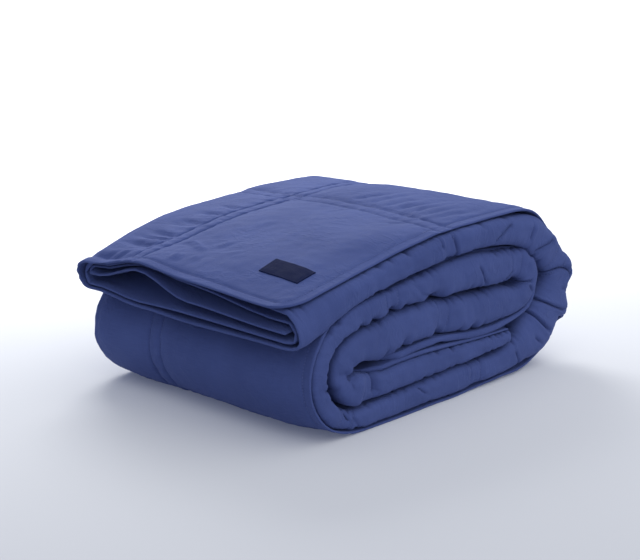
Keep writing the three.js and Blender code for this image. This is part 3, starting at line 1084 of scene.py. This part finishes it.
def stitch_faces(first):
    """Faces of one stitch, from the number of its first point."""
    faces = []
    last = first + (len(STITCH_RINGS) - 1) * STITCH_SIDES
    for ring in range(first, last, STITCH_SIDES):
        for k in range(STITCH_SIDES):
            a, b = ring + k, ring + (k + 1) % STITCH_SIDES
            faces.append((a, b, b + STITCH_SIDES, a + STITCH_SIDES))
    faces.append(tuple(range(first, first + STITCH_SIDES))[::-1])
    faces.append(tuple(range(last, last + STITCH_SIDES)))
    return faces


def stitch_row(rows, columns):
    """Points and faces of the stitches along one line on the outer face."""
    path, normals = on_grid(OUTER, rows, columns), on_grid(NORMALS, rows, columns)
    length = running_sum(np.linalg.norm(np.diff(path, axis=0), axis=1))
    points, faces = [], []
    for centre in np.arange(STITCH.pitch, length[-1] - STITCH.pitch, STITCH.pitch):
        if np.interp(centre, length, path[:, 2]) < STITCH.lowest:
            continue
        faces += stitch_faces(len(points))
        points += stitch_points(centre, length, path, normals)
    return points, faces


def joined(meshes):
    """One list of points and one of faces from several."""
    points, faces = [], []
    for some_points, some_faces in meshes:
        faces += [tuple(i + len(points) for i in face) for face in some_faces]
        points += some_points
    return points, faces


def line_samples(first, last, step):
    """Even samples from first to last, about a step apart."""
    return np.linspace(first, last, max(2, round(abs(last - first) / step)))


def stitched_rows():
    """Lines of stitches as rows and columns on the outer face."""
    top_end, back_end, under_end, front_end = np.cumsum(BLOCK_SIZES[:4]).tolist()
    along = row_of(line_samples(CORNER_CLEAR, OUTER_END, LINE_STEP.rows))
    lines = []
    for side in (-ROW_OFFSET, ROW_OFFSET):
        lines.append((along, np.full_like(along, column_of(QUILT_ACROSS + side))))
        for line in LINES:
            first = column_of(CORNER_CLEAR) if line < OUTER_END else top_end
            for begin, end in ((first, back_end - 1), (under_end, front_end - 1)):
                columns = line_samples(begin, end, LINE_STEP.columns)
                v = np.interp(columns, np.arange(len(TOP_PLACES)), TOP_PLACES)
                skew = line_skew(v) * (begin < top_end)
                lines.append((row_of(line + side + skew), columns))
    lines.append((along, np.full_like(along, column_of(HEM_STITCH))))
    columns = line_samples(column_of(CORNER_CLEAR), back_end - 1, LINE_STEP.columns)
    lines.append((np.full_like(columns, row_of(HEM_STITCH)), columns))
    return lines


stitches = mesh_object("stitches", *joined(stitch_row(*line) for line in stitched_rows()))


# Label

# Points along the label's two sides, and distances of the outer ones from its edge
LABEL_GRID = (22, 42)
LABEL_EDGE = np.array((0.0, 0.35, 1.0))
LABEL_EDGE_SHARE = 0.4
LABEL_SEAM = Values(inset=2.2, depth=0.25, width=0.8)


def label_places(size, count):
    """Places along one side of the label, closer at its edges."""
    inside = np.linspace(LABEL_EDGE[-1], size - LABEL_EDGE[-1], count)[1:-1]
    return np.concatenate([LABEL_EDGE, inside, size - LABEL_EDGE[::-1]])


def slab_faces(m, n):
    """Faces of a closed slab between two grids of m by n points, of which the upper one comes first."""
    upper, lower = np.arange(2 * m * n).reshape(2, m, n).tolist()
    faces = []
    for i in range(m - 1):
        for j in range(n - 1):
            square = ((i, j), (i + 1, j), (i + 1, j + 1), (i, j + 1))
            faces.append(tuple(upper[a][b] for a, b in square))
            faces.append(tuple(lower[a][b] for a, b in reversed(square)))
    border = [(i, 0) for i in range(m)] + [(m - 1, j) for j in range(1, n)]
    border += [(i, n - 1) for i in range(m - 2, -1, -1)] + [(0, j) for j in range(n - 2, 0, -1)]
    for (a, b), (c, d) in zip(border, border[1:] + border[:1]):
        faces.append((upper[c][d], upper[a][b], lower[a][b], lower[c][d]))
    return faces


def label_mesh():
    """Points, faces and places of the label, which follows the cloth under it."""
    s = label_places(LABEL.end - LABEL.start, LABEL_GRID[0])[:, None]
    v = label_places(LABEL.back - LABEL.front, LABEL_GRID[1])[None, :]
    s, v = np.broadcast_arrays(s, v)
    rows, columns = row_of(LABEL.start + s), column_of(LABEL.front + v)
    base, up = on_grid(OUTER, rows, columns), on_grid(NORMALS, rows, columns)
    edge = np.minimum(np.minimum(s, s[-1, -1] - s), np.minimum(v, v[-1, -1] - v))
    seam = LABEL_SEAM.depth * bell(edge - LABEL_SEAM.inset, LABEL_SEAM.width)
    thickness = LABEL.thickness * lerp(LABEL_EDGE_SHARE, 1.0, quarter_circle(edge / LABEL_EDGE[-1]))
    upper = base + up * (LABEL.gap + thickness - seam)[..., None]
    lower = base + up * LABEL.gap
    points = np.concatenate([upper.reshape(-1, 3), lower.reshape(-1, 3)])
    places = np.stack([v, s, np.zeros_like(s)], axis=-1).reshape(-1, 3)
    return points, slab_faces(*s.shape), np.concatenate([places, places])


label = mesh_object("label_woven", *label_mesh())


# Materials

def material(name, values):
    """A new material and its shader, with values for the shader's inputs."""
    made = bpy.data.materials.new(name)
    made.use_nodes = True
    shader = made.node_tree.nodes["Principled BSDF"]
    for key, value in values.items():
        shader.inputs[key].default_value = value
    return made, shader


class Nodes:
    """Short calls for the nodes of one material or of the world."""

    def __init__(self, made):
        self.tree = made.node_tree

    def add(self, kind, inputs=(), **settings):
        node = self.tree.nodes.new(kind)
        for key, value in settings.items():
            setattr(node, key, value)
        for key, value in dict(inputs).items():
            if isinstance(value, bpy.types.NodeSocket):
                self.tree.links.new(value, node.inputs[key])
            else:
                node.inputs[key].default_value = value
        return node

    def math(self, operation, a, b=0.0):
        return self.add("ShaderNodeMath", {0: a, 1: b}, operation=operation).outputs[0]

    def noise(self, place, cells, detail=3.0):
        scaled = self.add("ShaderNodeMapping", {"Vector": place, "Scale": cells}).outputs[0]
        node = self.add("ShaderNodeTexNoise", {"Vector": scaled, "Scale": 1.0, "Detail": detail})
        return node.outputs["Fac"]

    def gap(self, a, b):
        return self.math("ABSOLUTE", self.math("SUBTRACT", a, b))

    def split(self, place):
        """Distances of a place across the cloth and along it."""
        return self.add("ShaderNodeSeparateXYZ", {0: place}).outputs[:2]

    def ramp(self, value, low, high, first=0.0, last=1.0):
        """Value mapped from low and high to first and last."""
        node = self.add("ShaderNodeMapRange", {0: value, 1: low, 2: high, 3: first, 4: last})
        return node.outputs[0]

    def mix(self, share, a, b):
        """Colour between a and b, which a mix node takes in its inputs 6 and 7."""
        node = self.add("ShaderNodeMix", {0: share, 6: a, 7: b}, data_type="RGBA")
        return node.outputs[2]

    def dot(self, a, b):
        node = self.add("ShaderNodeVectorMath", {0: a, 1: b}, operation="DOT_PRODUCT")
        return node.outputs["Value"]

    def link(self, value, socket):
        self.tree.links.new(value, socket)


# Looks of the two cloths, with the distance between their threads
ClothLook = namedtuple("ClothLook", "dark light pitch slub sheen gloss")
PERCALE = ClothLook((0.040, 0.060, 0.185, 1.0), (0.053, 0.078, 0.230, 1.0), 0.7, 0.5, 0.12, 0.15)
LABEL_WEAVE = ClothLook((0.006, 0.010, 0.042, 1.0), (0.010, 0.015, 0.060, 1.0), 0.5, 0.3, 0.02, 0.05)
CLOTH_SHEEN = {"Sheen Tint": (0.30, 0.40, 0.90, 1.0), "Sheen Roughness": 0.5}
CLOTH_ROUGHNESS = Values(mean=0.85, low=0.78, high=0.92)
THREAD = Values(
    dark=(0.051, 0.0765, 0.225, 1.0), light=(0.06, 0.09, 0.265, 1.0), roughness=0.7,
    cells=(220.0, 220.0, 220.0),
)
# Noise cells for each millimetre across the cloth and along it
CELLS = {"threads": (0.9, 0.05, 1.0), "picks": (0.05, 0.9, 1.0), "clouds": (0.012, 0.012, 1.0)}
NOISE_SPREAD = (0.3, 0.7)
NOISE_MIDDLE = 0.5
# Noise where the cloth is darkest and lightest: a base, and a rise with its slub
DARKEST = (0.5, 0.6)
LIGHTEST = (0.7, 1.4)
# Heights of the bump are multiples of its distance, which is in metres
BUMP = {"Strength": 0.25, "Distance": 0.0002}
BUMP_DETAIL = 2.0
THREAD_HEIGHT = 1.5
WRINKLE = Values(
    cells=(0.035, 0.06, 0.0), width=0.06, height=12.0,
    patches=(0.012, 0.015, 0.0), patch_detail=1.0, patch_low=0.42, patch_high=0.6,
)
FINE_PUCKER = Values(along=0.016, across=0.12, reach=75.0, height=20.0)


def weave(nodes, place, pitch):
    """Height of a plain weave whose threads lie pitch millimetres apart."""
    turns = 2.0 * math.pi / pitch
    waves = [nodes.math("SINE", nodes.math("MULTIPLY", part, turns)) for part in nodes.split(place)]
    return nodes.math("MULTIPLY", *waves)


def wrinkles(nodes, place):
    """Height of fine creases in patches: the narrow ridges of a soft noise."""
    soft = nodes.noise(place, WRINKLE.cells, BUMP_DETAIL)
    ridge = nodes.ramp(nodes.gap(soft, NOISE_MIDDLE), 0.0, WRINKLE.width, 1.0, 0.0)
    patch = nodes.noise(place, WRINKLE.patches, WRINKLE.patch_detail)
    patch = nodes.ramp(patch, WRINKLE.patch_low, WRINKLE.patch_high)
    return nodes.math("MULTIPLY", nodes.math("MULTIPLY", ridge, patch), WRINKLE.height)


def streaks(nodes, place, cells, gap):
    """Height of fine puckers that run out from a quilting line, at a distance from it."""
    faded = nodes.ramp(gap, ROW_OFFSET, FINE_PUCKER.reach, FINE_PUCKER.height, 0.0)
    return nodes.math("MULTIPLY", nodes.noise(place, cells, BUMP_DETAIL), faded)


def fine_puckers(nodes, place):
    """Height of the fine puckers beside the quilting lines across the strip and along it."""
    across, along = nodes.split(place)
    lines = nodes.math("DIVIDE", nodes.math("SUBTRACT", along, QUILT_START), QUILT_ALONG)
    from_across = nodes.math("MULTIPLY", nodes.gap(lines, nodes.math("ROUND", lines)), QUILT_ALONG)
    from_along = nodes.gap(across, QUILT_ACROSS)
    long, short = FINE_PUCKER.along, FINE_PUCKER.across
    by_across = streaks(nodes, place, (short, long, 0.0), from_across)
    by_along = streaks(nodes, place, (long, short, 0.0), from_along)
    return nodes.math("ADD", by_across, by_along)


def cloth_material(name, look, is_quilted):
    """Woven cloth with uneven threads and a soft sheen."""
    values = {"Roughness": CLOTH_ROUGHNESS.mean, "Sheen Weight": look.sheen, **CLOTH_SHEEN}
    made, shader = material(name, {**values, "Specular IOR Level": look.gloss})
    nodes = Nodes(made)
    place = nodes.add("ShaderNodeAttribute", attribute_name="place").outputs["Vector"]
    threads, picks, clouds = (nodes.noise(place, CELLS[key]) for key in ("threads", "picks", "clouds"))
    uneven = nodes.math("MULTIPLY", nodes.math("ADD", threads, picks), look.slub)
    shade = nodes.math("ADD", uneven, clouds)
    low, high = (base + rise * look.slub for base, rise in (DARKEST, LIGHTEST))
    colour = nodes.mix(nodes.ramp(shade, low, high), look.dark, look.light)
    nodes.link(colour, shader.inputs["Base Color"])
    roughness = nodes.ramp(threads, *NOISE_SPREAD, CLOTH_ROUGHNESS.low, CLOTH_ROUGHNESS.high)
    nodes.link(roughness, shader.inputs["Roughness"])
    height = nodes.math("ADD", weave(nodes, place, look.pitch), wrinkles(nodes, place))
    height = nodes.math("ADD", height, nodes.math("MULTIPLY", threads, THREAD_HEIGHT))
    if is_quilted:
        height = nodes.math("ADD", height, fine_puckers(nodes, place))
    bump = nodes.add("ShaderNodeBump", {**BUMP, "Height": height})
    nodes.link(bump.outputs[0], shader.inputs["Normal"])
    return made


def thread_material():
    """Cotton thread, slightly lighter than the cloth."""
    made, shader = material("thread", {"Roughness": THREAD.roughness})
    nodes = Nodes(made)
    where = nodes.add("ShaderNodeTexCoord").outputs["Object"]
    shade = nodes.ramp(nodes.noise(where, THREAD.cells), *NOISE_SPREAD)
    nodes.link(nodes.mix(shade, THREAD.dark, THREAD.light), shader.inputs["Base Color"])
    return made


coverlet.data.materials.append(cloth_material("quilted_percale", PERCALE, True))
label.data.materials.append(cloth_material("woven_label", LABEL_WEAVE, False))
stitches.data.materials.append(thread_material())


# Floor, light and camera

FLOOR_SIZE = 30000.0
# Its emission makes the floor glow as painted light, though the floor is no lamp
FLOOR_SHADER_WITH_GLOW = {"Roughness": 0.9, "Specular IOR Level": 0.1, "Emission Strength": 1.0}
# Way from the front of the floor to its back, and metres along it over which its painted shade and glow
# change
FLOOR_WAY = (0.69, 0.72, 0.0)
# Painted shade and light on the floor: its colour is darker towards the front and whiter behind the roll,
# and its glow is bluish near the roll to lighten the shadows there and brighter behind
PaintedFloorLight = namedtuple("PaintedFloorLight", "near far change")
PAINTED_FLOOR_SHADE_AND_GLOW = {
    "Base Color": PaintedFloorLight((0.47, 0.475, 0.485, 1.0), (0.93, 0.94, 0.95, 1.0), (-0.7, 2.0)),
    "Emission Color": PaintedFloorLight((0.06, 0.07, 0.11, 1.0), (0.45, 0.45, 0.45, 1.0), (0.3, 2.2)),
}


def floor_plane():
    """A pale floor with painted light: its colour is darker towards the front and whiter behind the roll,
    and it glows.
    """
    half = FLOOR_SIZE / 2.0
    corners = [(-half, -half, 0.0), (half, -half, 0.0), (half, half, 0.0), (-half, half, 0.0)]
    plane = mesh_object("floor", corners, [(0, 1, 2, 3)])
    made, shader = material("floor_with_painted_light", FLOOR_SHADER_WITH_GLOW)
    nodes = Nodes(made)
    depth = nodes.dot(nodes.add("ShaderNodeNewGeometry").outputs["Position"], FLOOR_WAY)
    # Painted shade and painted glow, each ramped from the front of the floor to its back
    for key, colour in PAINTED_FLOOR_SHADE_AND_GLOW.items():
        share = nodes.ramp(depth, *colour.change)
        nodes.link(nodes.mix(share, colour.near, colour.far), shader.inputs[key])
    plane.data.materials.append(made)
    return plane


floor = floor_plane()

Lobe = namedtuple("Lobe", "towards strength low")
SKY_BASE = 0.22
SKY_LOBES = (Lobe((0.3, 0.2, 0.93), 0.63, 0.2), Lobe((-0.15, -0.85, 0.5), 1.2, 0.1))
SKY_DARK = (0.50, 0.65, 1.0, 1.0)
SKY_BRIGHT = (0.98, 0.99, 1.0, 1.0)


def studio_sky():
    """Soft light from above and from the front."""
    world = bpy.data.worlds.new("studio")
    world.use_nodes = True
    nodes = Nodes(world)
    way = nodes.add("ShaderNodeTexCoord").outputs["Generated"]
    glow = SKY_BASE
    for lobe in SKY_LOBES:
        share = nodes.dot(way, tuple(Vector(lobe.towards).normalized()))
        glow = nodes.math("ADD", nodes.ramp(share, lobe.low, 1.0, 0.0, lobe.strength), glow)
    background = world.node_tree.nodes["Background"]
    nodes.link(glow, background.inputs["Strength"])
    tint = nodes.mix(nodes.ramp(glow, 0.0, 1.0), SKY_DARK, SKY_BRIGHT)
    nodes.link(tint, background.inputs["Color"])
    bpy.context.scene.world = world


studio_sky()

SOFTBOX = Values(place=(620.0, 1000.0, 940.0), aim=(0.0, 50.0, 150.0), side=800.0, power=17.5)


def softbox():
    """A large soft light above the roll and behind it."""
    data = bpy.data.lights.new("softbox", "AREA")
    data.shape = "SQUARE"
    data.size = SOFTBOX.side * METRES
    data.energy = SOFTBOX.power
    lamp = put_in_scene("softbox", data)
    lamp.location = Vector(SOFTBOX.place) * METRES
    way = Vector(SOFTBOX.place) - Vector(SOFTBOX.aim)
    lamp.rotation_euler = way.to_track_quat("Z", "Y").to_euler()


softbox()

CAMERA = Values(azimuth=-46.27, elevation=14.906, distance=2000.0, lens=91.84, sensor=36.0)
CAMERA_TARGET = Vector((-60.6, -40.0, 138.9))


def photo_camera():
    """Camera at the photograph's viewing angle."""
    turn, rise = math.radians(CAMERA.azimuth), math.radians(CAMERA.elevation)
    back = Vector((math.sin(turn) * math.cos(rise), -math.cos(turn) * math.cos(rise), math.sin(rise)))
    data = bpy.data.cameras.new("camera")
    data.lens = CAMERA.lens
    data.sensor_width = CAMERA.sensor
    camera = put_in_scene("camera", data)
    camera.location = (CAMERA_TARGET + back * CAMERA.distance) * METRES
    camera.rotation_euler = back.to_track_quat("Z", "Y").to_euler()
    bpy.context.scene.camera = camera


photo_camera()
bpy.context.scene.view_settings.view_transform = "Standard"


# Pieces put under the root body, and the solids hidden

for piece, slot in ((coverlet, "quilted_cloth"), (stitches, "quilted_cloth"), (label, "label_cloth")):
    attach(piece, "root")
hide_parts("coverlet")
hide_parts("label")
